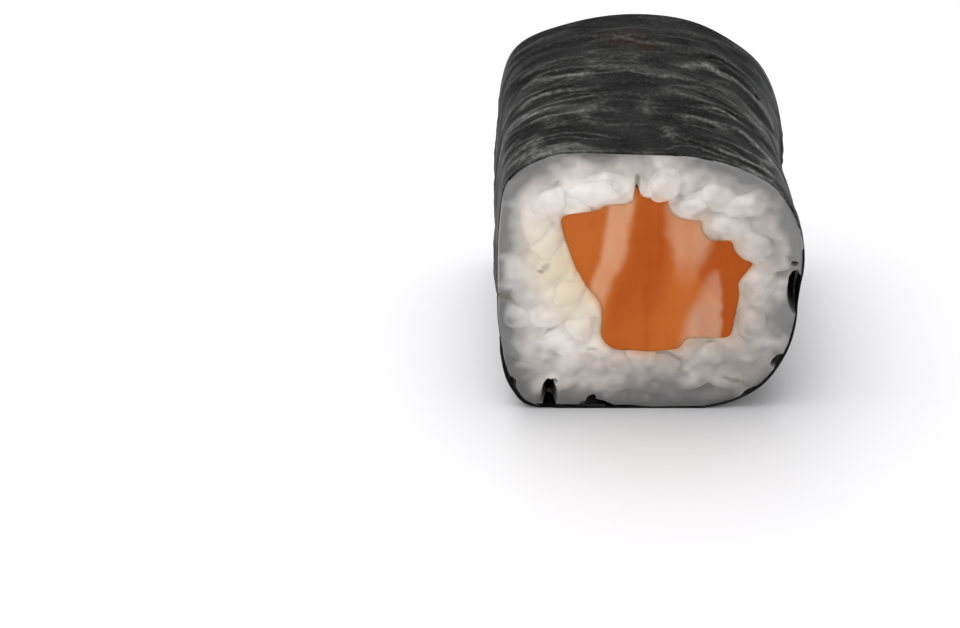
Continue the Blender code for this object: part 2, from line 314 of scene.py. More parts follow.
class Graph:
    """The shader nodes of one material."""

    def __init__(self, name: str) -> None:
        """Makes an empty node material.

        Args:
            name: Its name.
        """
        self.material = bpy.data.materials.new(name)
        self.material.use_nodes = True
        self.tree = self.material.node_tree
        self.shader = self.tree.nodes["Principled BSDF"]

    def feed(self, node: Node, inputs: dict[str | int, object]) -> None:
        """Gives a node its inputs.

        Args:
            node: The node.
            inputs: Input name or index to a value, a socket, or a node whose first output feeds it.
        """
        for name, value in inputs.items():
            source = value.outputs[0] if isinstance(value, Node) else value
            if isinstance(source, NodeSocket):
                self.tree.links.new(source, node.inputs[name])
            else:
                node.inputs[name].default_value = source

    def add(self, kind: str, inputs: dict[str | int, object], **settings: object) -> Node:
        """Adds a node with its settings, input values and links.

        Args:
            kind: Blender's name of the node type.
            inputs: As for feed.
            **settings: Properties of the node.

        Returns:
            The node.
        """
        node = self.tree.nodes.new(kind)
        for name, value in settings.items():
            setattr(node, name, value)
        self.feed(node, inputs)
        return node

    def parts(self, name: str) -> bpy.types.bpy_prop_collection:
        """The three numbers of a field that the piece stores, as outputs X, Y and Z."""
        stored = self.add("ShaderNodeAttribute", {}, attribute_name=name)
        return self.add("ShaderNodeSeparateXYZ", {0: stored.outputs["Vector"]}).outputs

    def layered(self, base: str, layers: tuple[tuple[object, str], ...]) -> NodeSocket:
        """A colour with others laid over it in turn.

        Args:
            base: The lowest colour, as sRGB hex.
            layers: For each layer, the node or socket that gives its share, and its colour.

        Returns:
            The mixed colour.
        """
        colour = linear(base)
        for share, over in layers:
            inputs = {"Factor": share, 6: colour, 7: linear(over)}
            colour = self.add("ShaderNodeMix", inputs, data_type="RGBA").outputs[2]
        return colour


def grid_object(name: str, points: Array, closed: bool) -> Object:
    """A mesh of quads over a grid of points.

    Args:
        name: The piece's name.
        points: Rows by columns by 3, in millimetres.
        closed: Whether the grid closes on itself both ways, with its outside to the other side.

    Returns:
        The object, at the origin, in metres.
    """
    rows, columns = points.shape[:2]
    index = np.arange(rows * columns).reshape(rows, columns)
    if closed:
        index = np.pad(index, ((0, 1), (1, 0)), mode="wrap")[:, ::-1]
    quads = np.stack([index[:-1, :-1], index[:-1, 1:], index[1:, 1:], index[1:, :-1]], axis=-1)
    return mesh_object(name, points.reshape(-1, 3), [quads.reshape(-1, 4)])


def mesh_object(name: str, points: Array, faces: list[Array]) -> Object:
    """An object from points in millimetres and faces, shaded smooth.

    Args:
        name: The piece's name.
        points: One row each, in the roll's sizes.
        faces: Blocks of faces, each with one row of vertex numbers a face.

    Returns:
        The object, at the origin, in metres.
    """
    mesh = bpy.data.meshes.new(name)
    listed = [face for block in faces for face in block.tolist()]
    mesh.from_pydata((points * MM + np.array(SHIFT)).tolist(), [], listed)
    mesh.shade_smooth()
    made = bpy.data.objects.new(name, mesh)
    bpy.context.scene.collection.objects.link(made)
    return made


def dress(piece: Object, material: Material, **fields: Array) -> None:
    """Gives a piece its material and the numbers that the material reads.

    Args:
        piece: The piece.
        material: Its material.
        **fields: For each attribute, three numbers at each point.
    """
    piece.data.materials.append(material)
    for name, values in fields.items():
        made = piece.data.attributes.new(name, "FLOAT_VECTOR", "POINT")
        made.data.foreach_set("vector", values.reshape(-1).astype(np.float32))


def ball_faces(sides: int, rings: int) -> list[Array]:
    """Faces of a ball of rings between two poles, the first pole being point 0.

    Args:
        sides: Points on a ring.
        rings: How many rings.

    Returns:
        Triangles at the first pole, quads between the rings and triangles at the last pole.
    """
    j = np.arange(sides)
    k = (j + 1) % sides
    ring = 1 + sides * np.arange(rings)[:, None]
    quads = np.stack([ring + k, ring + j, ring + sides + j, ring + sides + k], axis=-1)[:-1]
    first = np.stack([0 * j, 1 + j, 1 + k], axis=-1)
    last = ring[-1] + np.stack([0 * j + sides, k, j], axis=-1)
    return [first, quads.reshape(-1, 4), last]


@dataclass(frozen=True)
class Grain:
    """One cooked grain lying on a cut face, in millimetres and degrees.

    Its top stands `rise` over the cut plane, and `tone` is how pale it is, from -1 to 1.
    """

    x: float
    z: float
    turn: float
    length: float
    rise: float
    tone: float
    width: float = 2.9
    thick: float = 2.0
    tilt: float = 0.0

    def frame(self) -> Array:
        """Unit axes of the grain.

        Returns:
            Rows for long, wide and thick, in x, z and outward.
        """
        a, t = math.radians(self.turn), math.radians(self.tilt)
        long = np.array([math.cos(a) * math.cos(t), math.sin(a) * math.cos(t), math.sin(t)])
        wide = np.array([-math.sin(a), math.cos(a), 0.0])
        return np.stack([long, wide, np.cross(long, wide)])

    def top(self, x: Array, z: Array) -> Array:
        """Height of the grain's outward side over the cut plane.

        Upper root h of (p' M p = 1) for p = (dx, dz, h); outside the grain's edge the root's
        sign turns, so that the height falls away steeply and stays continuous.

        Args:
            x: Across the face.
            z: Up the face.

        Returns:
            The height at each point.
        """
        axes = self.frame()
        halves = np.array([self.length, self.width, self.thick]) / 2
        m = axes.T @ np.diag(halves**-2.0) @ axes
        dx, dz = x - self.x, z - self.z
        b = m[0, 2] * dx + m[1, 2] * dz
        q = m[0, 0] * dx * dx + 2 * m[0, 1] * dx * dz + m[1, 1] * dz * dz - 1.0
        inside = b * b - m[2, 2] * q
        root = np.sign(inside) * np.sqrt(np.abs(inside))
        return self.rise - self.thick / 2 + (root - b) / m[2, 2]


@dataclass(frozen=True)
class Spot:
    """A small oval mark on the front face, in millimetres and degrees."""

    x: float
    z: float
    half_long: float
    half_wide: float
    turn: float = 0.0
    strength: float = 1.0

    def mask(self, x: Array, z: Array, hardness: float) -> Array:
        """1 inside the oval and 0 outside, with a soft edge.

        Args:
            x: Across the face.
            z: Up the face.
            hardness: How sharp the edge is.

        Returns:
            The mask at each point.
        """
        a = math.radians(self.turn)
        u = (x - self.x) * math.cos(a) + (z - self.z) * math.sin(a)
        w = (z - self.z) * math.cos(a) - (x - self.x) * math.sin(a)
        distance = np.sqrt((u / self.half_long) ** 2 + (w / self.half_wide) ** 2)
        return self.strength * ease(0.5 + (1.0 - distance) * hardness / 2)


def spotted(cut: Cut, spots: tuple[Spot, ...], x: Array, z: Array, hardness: float) -> Array:
    """Several ovals together on the front face, and nothing on the back."""
    masks = [spot.mask(x, z, hardness) for spot in spots if cut is Cut.FRONT]
    return np.max([np.zeros(x.shape), *masks], axis=0)


@dataclass(frozen=True)
class CookedRiceFinish:
    """Cooked short-grain rice, moist with vinegar: a translucent white with a soft shine."""

    pearl: str = "fdf8f3"
    shade: str = "c2bab3"
    cream: str = "efe3c4"
    peach: str = "efb888"
    dusk: str = "8a8988"
    # Near black painted into the gaps in the rice and along the face's foot, as their shade.
    void_shade: str = "050504"
    # Grey-olive of dark flecks, also painted into some cracks as their shade.
    fleck_and_crack_shade: str = "77715f"
    scatter_mm: float = 0.7
    starch_mm: float = 0.9
    moist: float = 0.36
    gap_rough: float = 0.6

    def build(self) -> Material:
        """The material, which reads `zones` as (peach, cream, dusk) and `marks` as (void_shade,
        fleck_and_crack_shade, tone), with painted shade in the gaps, the cracks and the tone.

        Returns:
            The material.
        """
        graph = Graph("cooked_rice")
        zone, mark = graph.parts("zones"), graph.parts("marks")
        place = graph.add("ShaderNodeTexCoord", {}).outputs["Object"]
        fine = 1.0 / (self.starch_mm * MM)
        starch = graph.add("ShaderNodeTexNoise", {"Vector": place, "Scale": fine, "Detail": 3.0})
        # The tone mark holds the grains' own tones with painted shade, darker low on the face and to the
        # right.
        tone = graph.add("ShaderNodeMath", {0: starch, 1: 0.5, 2: mark["Z"]}, operation="MULTIPLY_ADD")
        layers = (
            (tone, self.pearl), (zone["Y"], self.cream), (zone["X"], self.peach),
            (zone["Z"], self.dusk), (mark["Y"], self.fleck_and_crack_shade), (mark["X"], self.void_shade),
        )
        rough = {0: mark["X"], 1: self.gap_rough, 2: self.moist}
        graph.feed(graph.shader, {
            "Base Color": graph.layered(self.shade, layers),
            "Roughness": graph.add("ShaderNodeMath", rough, operation="MULTIPLY_ADD"),
            "IOR": 1.38,
            "Subsurface Weight": 0.5,
            "Subsurface Radius": (1.0, 0.85, 0.7),
            "Subsurface Scale": self.scatter_mm * MM,
        })
        return graph.material


@dataclass(frozen=True)
class GrainKind:
    """Ranges of a grain's length, width and depth under the face, in millimetres."""

    length: tuple[float, float]
    width: tuple[float, float]
    sink: tuple[float, float]


@dataclass(frozen=True)
class RiceForm:
    """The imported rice: a core between salmon and nori, its cut ends a relief of pressed grains."""

    gap: float = 0.04
    columns: int = 700
    face_rows: int = 59
    side_rows: int = 4
    grains: int = 44
    pressed: GrainKind = GrainKind((3.6, 5.4), (2.6, 3.0), (-0.12, 0.18))
    fillers: int = 60
    filler: GrainKind = GrainKind((3.0, 4.4), (2.2, 2.7), (0.2, 0.6))
    tries: int = 500
    loose: int = 26
    lift: float = 0.1
    grain_sides: int = 28
    grain_rings: int = 18
    softness: float = 3.8
    rest: float = -0.17
    over_salmon: float = 0.12
    over_nori: float = 0.1
    salmon_round: float = 0.3
    nori_round: float = 0.45
    floor: float = -0.45
    void_depth: float = 2.6
    fleck_depth: float = 0.12
    glow_mm: tuple[float, float, float] = (0.3, 0.5, 3.5)
    rim_mm: float = 1.4
    shade_mm: float = 3.8
    swollen: tuple[tuple[float, float], tuple[float, float]] = ((140.0, 216.0), (306.0, 336.0))
    seeds: tuple[int, int] = (11, 29)
    finish: CookedRiceFinish = CookedRiceFinish()
    cream: Spot = Spot(-8.6, 15.5, 6.0, 2.3, -64)
    collar: tuple[Grain, ...] = (
        Grain(-12.6, 10.8, 0, 3.0, 0.35, 0.2, width=2.3, thick=1.4),
        Grain(-5.4, 24.8, 10, 6.0, 0.65, 0.6, width=3.0),
        Grain(0.6, 25.3, 75, 4.0, 0.62, 0.6),
        Grain(3.3, 23.3, 35, 4.2, 0.55, 0.5, width=2.5, thick=1.9),
        Grain(6.3, 21.0, -12, 4.2, 0.5, 0.2, width=2.5, thick=1.9),
        Grain(9.0, 18.9, -48, 4.4, 0.5, 0.2, width=2.6, thick=1.9),
        Grain(10.0, 13.9, 80, 4.8, 0.5, 0.3), Grain(9.4, 9.8, 100, 4.2, 0.42, 0.0),
        Grain(5.8, 6.2, 12, 4.4, 0.42, -0.1), Grain(1.4, 4.8, 4, 4.8, 0.42, -0.2),
        Grain(-3.2, 5.3, -20, 4.4, 0.42, 0.0), Grain(-6.6, 9.6, 96, 4.4, 0.5, 0.4),
        Grain(-7.9, 13.6, 62, 4.4, 0.5, 0.3), Grain(-9.9, 18.9, 76, 4.8, 0.5, 0.3),
        Grain(-9.4, 23.4, 28, 4.8, 0.55, 0.3),
    )
    # Gaps in the rice: each sinks the face, and its shade is painted near black.
    voids: tuple[Spot, ...] = (
        Spot(-13.2, 3.3, 0.75, 0.35, -50), Spot(-9.4, 1.6, 1.55, 0.62, 92),
        Spot(-9.0, 3.2, 0.35, 0.22, 20), Spot(-4.8, 0.35, 1.4, 0.42, -6),
        Spot(-5.4, 0.95, 0.55, 0.38, 80), Spot(9.8, 1.9, 1.05, 0.35, 37),
        Spot(12.2, 5.6, 0.85, 0.4, 50), Spot(13.25, 13.35, 1.95, 0.7, 96),
        Spot(12.9, 15.2, 0.6, 0.3, 60), Spot(12.9, 16.7, 0.28, 0.22),
    )
    # Dark flecks, and some cracks whose shade is painted in the fleck colour; each also sinks the face a
    # little.
    flecks_and_cracks: tuple[Spot, ...] = (
        Spot(-10.0, 16.5, 0.6, 0.3, 60, 0.5), Spot(-10.4, 15.9, 0.3, 0.2, 20, 0.8),
        Spot(-1.85, 25.4, 0.9, 0.24, 90, 0.9), Spot(-3.2, 6.2, 0.22, 0.2, 0, 0.6),
        Spot(0.7, 4.1, 1.0, 0.2, 62, 0.6), Spot(7.9, 3.4, 1.1, 0.25, -27, 0.7),
        Spot(-9.4, 9.2, 0.8, 0.16, 35, 0.5), Spot(-5.5, 7.1, 0.6, 0.18, 0, 0.35),
        Spot(5.7, 8.3, 0.4, 0.25, 0, 0.5), Spot(-13.6, 12.9, 0.8, 0.3, -35, 0.8),
    )

    def tunnel_radius(self, angles: Array, share: Array | float) -> Array:
        """Inner outline of the rice: the salmon's and a gap."""
        return FORM.salmon_radius(angles, share) + self.gap

    def edges(self, cut: Cut, angles: Array) -> tuple[Array, Array]:
        """Inner and outer outline of the rice at a cut."""
        return self.tunnel_radius(angles, cut.share), FORM.rice_radius(angles, cut.share, self.gap)

    def lip(self, cut: Cut, angles: Array) -> Array:
        """Share by which the rice swells over the nori's cut edge.

        Args:
            cut: The face.
            angles: Rays, in radians.

        Returns:
            The share at each angle, from 0 to 1.
        """
        turn = np.degrees(angles) % 360.0
        first, last = self.swollen[cut.value]
        broad = 0.45 * ease((turn - first) / 9.0) * ease((last - turn) / 9.0)
        small = lattice_noise(turn / 9.0, cut.outward, 19)
        return np.maximum(broad, 0.4 * ease((small - 0.45) / 0.3) * ease((250.0 - turn) / 20.0))

    def scatter(self, cut: Cut) -> list[Grain]:
        """Grains of one face: each next one lies where it is farthest from those before it.

        Args:
            cut: The face.

        Returns:
            The collar's grains, then pressed grains, then the fillers that lie lower.
        """
        draw = np.random.default_rng(self.seeds[cut.value])
        placed = list(self.collar) if cut is Cut.FRONT else []
        for number in range(self.grains + self.fillers):
            kind = self.pressed if number < self.grains else self.filler
            angles, turns = draw.uniform(0.0, TURN, self.tries), draw.uniform(0.0, 180.0, self.tries)
            across = draw.uniform(0.06, 0.94, self.tries)
            inner, outer = self.edges(cut, angles)
            spots = FORM.place(angles, inner + (outer - inner) * across, 0.0)[:, ::2]
            others = np.array([(grain.x, grain.z) for grain in placed]).reshape(-1, 2)
            room = np.hypot(*(spots[:, None] - others[None]).transpose(2, 0, 1)).min(axis=1, initial=99)
            best = int(np.argmax(room))
            edge = (1.0 - across[best]) * (outer - inner)[best]
            sink = draw.uniform(*kind.sink)
            placed.append(
                Grain(
                    x=spots[best, 0], z=spots[best, 1], turn=turns[best],
                    length=draw.uniform(*kind.length), width=draw.uniform(*kind.width),
                    tilt=draw.uniform(-12.0, 12.0),
                    rise=0.05 + 0.35 * float(ease(edge / 4.0)) - sink,
                    tone=draw.uniform(-1.0, 1.0),
                )
            )
        return placed

    def warp(self, x: Array, z: Array) -> tuple[Array, Array]:
        """How far pressing has pushed the grains out of their oval shape, across and up the face."""
        across, up = (lattice_noise(x / 1.9, z / 1.9, seed) - 0.5 for seed in (3, 4))
        return 0.7 * across, 0.7 * up

    def relief(self, grains: list[Grain], x: Array, z: Array) -> tuple[Array, Array]:
        """Soft maximum of the grains' tops, log(sum of exp(k h)) / k, over slightly warped ground.

        Args:
            grains: The face's grains.
            x: Across the face.
            z: Up the face.

        Returns:
            The height over the cut plane, and the tone of the grain on top.
        """
        warp_x, warp_z = self.warp(x, z)
        total = np.full(x.shape, math.exp(self.floor * self.softness))
        tone = np.zeros(x.shape)
        for grain in grains:
            weight = np.exp(self.softness * grain.top(x + warp_x, z + warp_z))
            total += weight
            tone += weight * grain.tone
        height = np.log(total) / self.softness
        height += 0.05 * (lattice_noise(x / 0.45, z / 0.45, 5) - 0.5)
        return height + 0.1 * (lattice_noise(x / 0.9, z / 0.9, 15) - 0.5), tone / total

    def face(self, cut: Cut, angles: Array) -> tuple[Array, Array, Array]:
        """One cut face from the salmon's edge to the nori's, rounded down at both.

        Args:
            cut: The face.
            angles: Rays, in radians.

        Returns:
            Points, zones and marks, each rows by columns by 3.
        """
        across = np.linspace(0.0, 1.0, self.face_rows)[:, None]
        across = across - 0.06 * np.sin(TURN * across)
        inner, outer = self.edges(cut, angles)
        lip = self.lip(cut, angles)
        over = lip * (FORM.nori_thickness + self.gap + self.over_nori) * FORM.slope(angles, cut.share)
        start = inner - self.over_salmon
        radius = start + (outer + over - start) * across
        flat = FORM.place(angles, radius, 0.0)
        x, z = flat[..., 0], flat[..., 2]
        from_salmon, from_nori = (outer - inner) * across, (outer - inner) * (1.0 - across)
        height, tone = self.relief(self.scatter(cut), x, z)
        height = height - (height - self.rest) * bell(from_salmon / self.salmon_round)
        end = cut.outward * FORM.nori_end(angles, cut.share)
        level = end + 0.06 - 0.22 * lattice_noise(angles * 7.0, cut.share, 9)
        level = level + (end + 0.2 - level) * lip
        height = height + (level - height) * bell(from_nori / self.nori_round)
        void_shade, fleck_and_crack_shade = spotted(cut, self.voids, x, z, 4.0), spotted(cut, self.flecks_and_cracks, x, z, 2.0)
        height = height - self.void_depth * void_shade - self.fleck_depth * fleck_and_crack_shade
        points = [
            FORM.place(angles, inner, FORM.over_cut(cut, self.rest - 0.02))[None],
            FORM.place(angles, radius, FORM.over_cut(cut, height)),
            FORM.place(angles, outer, FORM.over_cut(cut, level - 0.12))[None],
        ]
        fields = self.colours(cut, flat, from_salmon, from_nori, tone, void_shade, fleck_and_crack_shade)
        zones, marks = (np.concatenate([rows[:1], rows, rows[-1:]]) for rows in fields)
        return np.concatenate(points), zones, marks

    def colours(
        self, cut: Cut, points: Array, from_salmon: Array, from_nori: Array,
        tone: Array, void_shade: Array, fleck_and_crack_shade: Array,
    ) -> tuple[Array, Array]:
        """Colour fields of points on a cut face.

        Peach shines through beside the salmon as exp(-d / reach). Dusk is the shade beside the
        nori, exp(-(d / reach)^2), deeper low on the face and to the right of it. Noise and the
        grains' own tones break up both.

        Args:
            cut: The face.
            points: The points.
            from_salmon: Distance from the salmon.
            from_nori: Distance from the nori.
            tone: How pale the grain is, from -1 to 1.
            void_shade: Share of a gap, painted near black as its shade.
            fleck_and_crack_shade: Share of a dark fleck, and of a crack's painted shade.

        Returns:
            Zones as (peach, cream, dusk) and marks as (void_shade, fleck_and_crack_shade, tone), the tone
            holding painted shade too: darker low on the face and to the right.
        """
        x, z = points[..., 0], points[..., 2]
        edge, near, far = (from_salmon / reach for reach in self.glow_mm)
        peach = np.exp(-near) * (0.25 + 0.5 * lattice_noise(x / 2.2, z / 2.2, 8)) + 0.13 * np.exp(-far)
        peach = np.maximum(peach, bell(edge))
        low = ease((14.0 - z) / 14.0)
        high = ease((z - 23.0) / 4.0) * ease((x + 9.0) / 6.0) * (1.0 - ease((x - 1.0) / 5.0))
        rim = np.exp(-((from_nori / self.rim_mm) ** 1.5))
        dusk = 0.85 * rim + (0.34 + 0.5 * low) * bell(from_nori / self.shade_mm)
        dusk = dusk + 0.18 * np.clip(x / 9.0, -0.6, 1.0) * (1.0 - rim)
        dusk = dusk + 0.35 * bell((z - 5.0) / 3.0) * bell(x / 8.0)
        dusk = dusk * (1.0 - 0.6 * ease((x - 6.0) / 3.0) * ease((9.0 - z) / 4.0))
        mottle = 0.5 * (lattice_noise(x / 1.3, z / 1.3, 12) + lattice_noise(x / 0.7, z / 0.7, 13)) - 0.5
        dusk = np.clip(dusk * (1.0 - 0.35 * high) * (1.0 - 0.45 * tone - 0.65 * mottle), 0.0, 1.0)
        # Painted shade and light in the tone: paler to the left, darker to the right and low on the face,
        # over the grains' own tones and mottle.
        pale = 0.36 - 0.018 * x - 0.42 * low + 0.26 * tone + 0.7 * mottle
        # Painted shade, near black, where the face meets the nori low down.
        void_shade = np.maximum(void_shade, 0.35 * low**2 * bell(from_nori))
        cream = 0.8 * spotted(cut, (self.cream,), x, z, 1.3)
        return np.stack([peach, cream, dusk], axis=-1), np.stack([void_shade, 0.8 * fleck_and_crack_shade, pale], axis=-1)

    def build(self) -> Object:
        """The core: both cut faces, the side under the nori and the salmon's tunnel, one closed grid.

        Returns:
            The piece.
        """
        angles = np.linspace(0.0, TURN, self.columns, endpoint=False)
        front, back = self.face(Cut.FRONT, angles), self.face(Cut.BACK, angles)
        shares = np.linspace(0.0, 1.0, self.side_rows + 2)[1:-1, None]
        outer = FORM.rice_radius(angles, shares, self.gap)
        side = FORM.rings(angles, outer, (front[0][-1], back[0][-1]), shares)
        inner = self.tunnel_radius(angles, shares)
        tunnel = FORM.rings(angles, inner, (front[0][0], back[0][0]), shares)
        points = np.concatenate([front[0], side, back[0][::-1], tunnel[::-1]])
        piece = grid_object("packed_rice", points, closed=True)
        plain_side = np.zeros((self.side_rows, self.columns, 3))
        zones, marks = (
            np.concatenate([front[part], plain_side, back[part][::-1], plain_side]) for part in (1, 2)
        )
        dress(piece, self.finish.build(), zones=zones, marks=marks)
        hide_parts("rice")
        return piece

    def laid(self, grain: Grain, cut: Cut, ball: Array) -> Array:
        """A whole grain in its place on a face, pushed aside as the relief is.

        Args:
            grain: The grain.
            cut: The face.
            ball: Points of a lumpy unit ball, one row each.

        Returns:
            The grain's points.
        """
        halves = np.array([grain.length, grain.width, grain.thick]) / 2
        body = (ball * halves) @ grain.frame()
        x, z = body[:, 0] + grain.x, body[:, 1] + grain.z
        push_x, push_z = self.warp(x, z)
        y = FORM.over_cut(cut, body[:, 2] + grain.rise + self.lift - grain.thick / 2)
        return np.stack([x - push_x, y, z - push_z], axis=-1)

    def loose_grains(self, core: Object) -> Object:
        """Whole grains on top of the core, each a slightly lumpy ellipsoid.

        Args:
            core: The core, whose material the grains share.

        Returns:
            The piece.
        """
        turn = np.linspace(0.0, TURN, self.grain_sides, endpoint=False)
        down = np.linspace(0.0, math.pi, self.grain_rings + 2)[1:-1, None]
        rings = np.cos(down), np.sin(down) * np.cos(turn), np.sin(down) * np.sin(turn)
        rings = np.stack(np.broadcast_arrays(*rings), axis=-1).reshape(-1, 3)
        ball = np.concatenate([[[1.0, 0.0, 0.0]], rings, [[-1.0, 0.0, 0.0]]])
        faces = ball_faces(self.grain_sides, self.grain_rings)
        nothing = np.zeros(len(ball))
        draw = np.random.default_rng(self.seeds[0])
        points, listed, zones, marks = [], [], [], []
        for cut in Cut:
            for grain in self.scatter(cut)[: self.loose]:
                lumps = 0.05 * np.sin(ball @ draw.uniform(-4.0, 4.0, (3, 3)) + draw.uniform(0, TURN, 3))
                at = self.laid(grain, cut, ball * (1.0 + lumps))
                angles, radius = FORM.polar(at)
                inner, outer = self.edges(cut, angles)
                outside = np.any((radius > outer + 0.1) | (radius < inner - 0.2))
                if outside and grain not in self.collar:
                    continue
                depths = np.maximum(radius - inner, 0.25), np.maximum(outer - radius, 0.9)
                fields = self.colours(cut, at, *depths, nothing + grain.tone, nothing, nothing)
                listed += [block[:, :: int(-cut.outward)] + len(ball) * len(points) for block in faces]
                points.append(at)
                zones.append(fields[0])
                marks.append(fields[1])
        piece = mesh_object("loose_grains", np.concatenate(points), listed)
        fields = {"zones": np.concatenate(zones), "marks": np.concatenate(marks)}
        dress(piece, core.data.materials[0], **fields)
        return piece


@dataclass(frozen=True)
class Band:
    """A soft-edged band in the salmon's section: its left and right edge at each height, in mm."""

    heights: tuple[float, ...]
    left: tuple[float, ...]
    right: tuple[float, ...]
    strength: tuple[float, ...]
    soft: tuple[float, float]

    def mask(self, x: Array, z: Array) -> Array:
        """Share of the band: product of an eased step at each edge, times its strength there.

        Args:
            x: Across the section.
            z: Up the section.

        Returns:
            The mask at each point.
        """
        left, right = np.interp(z, self.heights, self.left), np.interp(z, self.heights, self.right)
        rise = ease(0.5 + (x - left) / (2.0 * self.soft[0]))
        fall = ease(0.5 + (right - x) / (2.0 * self.soft[1]))
        return rise * fall * np.interp(z, self.heights, self.strength)


@dataclass(frozen=True)
class RawSalmonFinish:
    """Raw salmon: translucent orange flesh with soft-edged pale fat, moist at the cut."""

    flesh: str = "d27028"
    deep: str = "bd560e"
    fat: str = "edb28a"
    chalk: str = "c79c88"
    scatter_mm: float = 1.2
    grain_mm: float = 1.4

    def build(self) -> Material:
        """The material, which reads the field `flesh` as (fat, deep, chalk).

        Returns:
            The material.
        """
        graph = Graph("raw_salmon")
        share = graph.parts("flesh")
        layers = ((share["Y"], self.deep), (share["X"], self.fat), (share["Z"], self.chalk))
        place = graph.add("ShaderNodeTexCoord", {}).outputs["Object"]
        fine = 1.0 / (self.grain_mm * MM)
        fibre = graph.add("ShaderNodeTexNoise", {"Vector": place, "Scale": fine, "Detail": 3.0})
        bump = {"Height": fibre, "Strength": 0.25, "Distance": 0.1 * MM}
        graph.feed(graph.shader, {
            "Base Color": graph.layered(self.flesh, layers),
            "Normal": graph.add("ShaderNodeBump", bump),
            "Roughness": 0.45,
            "Specular IOR Level": 0.2,
            "IOR": 1.38,
            "Subsurface Weight": 0.5,
            "Subsurface Radius": (1.0, 0.35, 0.15),
            "Subsurface Scale": self.scatter_mm * MM,
        })
        return graph.material


@dataclass(frozen=True)
class SalmonForm:
    """The strip of raw salmon, cut flat at both ends, with flakes parted by bands of fat."""

    columns: int = 480
    cap_rows: int = 42
    side_rows: int = 8
    sink: float = 0.19
    rim: float = 0.02
    finish: RawSalmonFinish = RawSalmonFinish()
    fat: tuple[Band, ...] = (
        Band(
            (8.0, 11.5, 13.7, 18.3, 23.4), (-6.3, -6.0, -5.6, -4.8, -4.5),
            (-5.0, -4.6, -3.9, -2.5, -2.1), (0.0, 0.5, 0.85, 0.95, 0.9), (0.35, 0.5),
        ),
        Band(
            (13.5, 16.0, 17.6, 20.0, 22.5), (2.6, 1.9, 1.6, 1.3, 1.0),
            (3.6, 4.4, 4.9, 5.4, 4.6), (0.05, 0.3, 0.62, 0.75, 0.75), (0.55, 0.7),
        ),
        Band(
            (6.8, 9.0, 12.0, 15.0, 16.2), (2.9, 3.2, 4.0, 5.2, 5.8),
            (6.4, 6.5, 6.4, 6.2, 6.0), (0.85, 0.8, 0.65, 0.5, 0.0), (0.8, 0.3),
        ),
    )
    deep: tuple[Band, ...] = (
        Band(
            (6.0, 9.0, 13.7, 18.2, 23.0, 24.5), (-4.8, -4.8, -3.5, -2.4, -2.1, -2.2),
            (0.0, 0.4, 1.1, 1.4, 1.0, 0.6), (0.25, 0.45, 0.85, 0.95, 0.75, 0.75), (0.9, 1.0),
        ),
        Band(
            (8.0, 12.0, 14.4, 17.0, 19.2), (6.5, 6.2, 4.6, 3.8, 3.9),
            (8.4, 8.6, 9.4, 9.6, 8.8), (0.9, 1.0, 1.0, 1.0, 1.0), (0.5, 0.6),
        ),
    )

    def cap(self, cut: Cut, angles: Array) -> tuple[Array, Array, Array]:
        """One cut face from its middle to its rim: nearly flat, its edge rounded, flakes just felt.

        Args:
            cut: The face.
            angles: Rays, in radians.

        Returns:
            Points and flesh field as rows by columns by 3, and the middle's point.
        """
        across = np.linspace(0.0, 1.0, self.cap_rows + 1)[1:, None] ** 0.8
        rim = FORM.salmon_radius(angles, cut.share)
        radius = rim * across
        turned = FORM.place(angles - math.radians(FORM.salmon_twist) * cut.share, radius, 0.0)
        x, z = turned[..., 0], turned[..., 2]
        flesh = self.flesh(x, z)
        inward = np.clip((rim - radius) / self.rim, 0.0, 1.0)
        edge = np.sqrt(1.0 - (1.0 - inward) ** 2)
        relief = 0.12 * flesh[..., 0] + 0.12 * lattice_noise(x / 1.6 + 7, z / 3.5, 6) - 0.1
        height = -self.sink - self.rim * (1.0 - edge) + relief * ease((rim - radius) / 0.8)
        points = FORM.place(angles, radius, FORM.over_cut(cut, height))
        return points, flesh, points[0].mean(axis=0)

    def flesh(self, x: Array, z: Array) -> Array:
        """Shares of fat, deep flesh and chalky fat at points of the section, edges slightly wavy.

        Args:
            x: Across the section.
            z: Up the section.

        Returns:
            The three shares, last.
        """
        bent = x + 0.35 * (lattice_noise(x / 2.5, z / 2.5, 21) - 0.5)
        bent = bent + 0.25 * (lattice_noise(x / 0.9, z / 0.9, 22) - 0.5)
        bands = [band.mask(bent, z) for band in self.fat]
        fat = np.max(bands, axis=0) * (0.8 + 0.4 * (lattice_noise(x / 0.8, z / 3.0, 23) - 0.5))
        chalk = (0.3 * bands[1] + 0.6 * bands[2]) * (0.4 + 1.2 * lattice_noise(x / 1.1, z / 1.6, 26))
        mottle = 0.25 * lattice_noise(x / 1.4, z / 1.4, 24) + 0.3 * lattice_noise(bent / 0.5, z / 6.0, 25)
        deep = np.max([band.mask(bent, z) for band in self.deep], axis=0) + mottle - 0.275
        return np.clip(np.stack([fat, deep, chalk], axis=-1), 0.0, 1.0)

    def build(self) -> Object:
        """The strip: cap, side rings and cap, with one point in the middle of each cap.

        Returns:
            The piece.
        """
        angles = np.linspace(0.0, TURN, self.columns, endpoint=False)
        front, front_flesh, front_middle = self.cap(Cut.FRONT, angles)
        back, back_flesh, back_middle = self.cap(Cut.BACK, angles)
        shares = np.linspace(0.0, 1.0, self.side_rows + 2)[1:-1, None]
        side = FORM.rings(angles, FORM.salmon_radius(angles, shares), (front[-1], back[-1]), shares)
        rings = np.concatenate([front, side, back[::-1]])
        points = np.concatenate([[front_middle], rings.reshape(-1, 3), [back_middle]])
        piece = mesh_object("salmon_strip", points, ball_faces(self.columns, len(rings)))
        side_flesh = np.repeat(front_flesh[-1:], self.side_rows, 0)
        flesh = np.concatenate([front_flesh, side_flesh, back_flesh[::-1]]).reshape(-1, 3)
        flesh = np.concatenate([front_flesh[0, :1], flesh, back_flesh[0, :1]])
        dress(piece, self.finish.build(), flesh=flesh)
        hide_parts("salmon")
        return piece


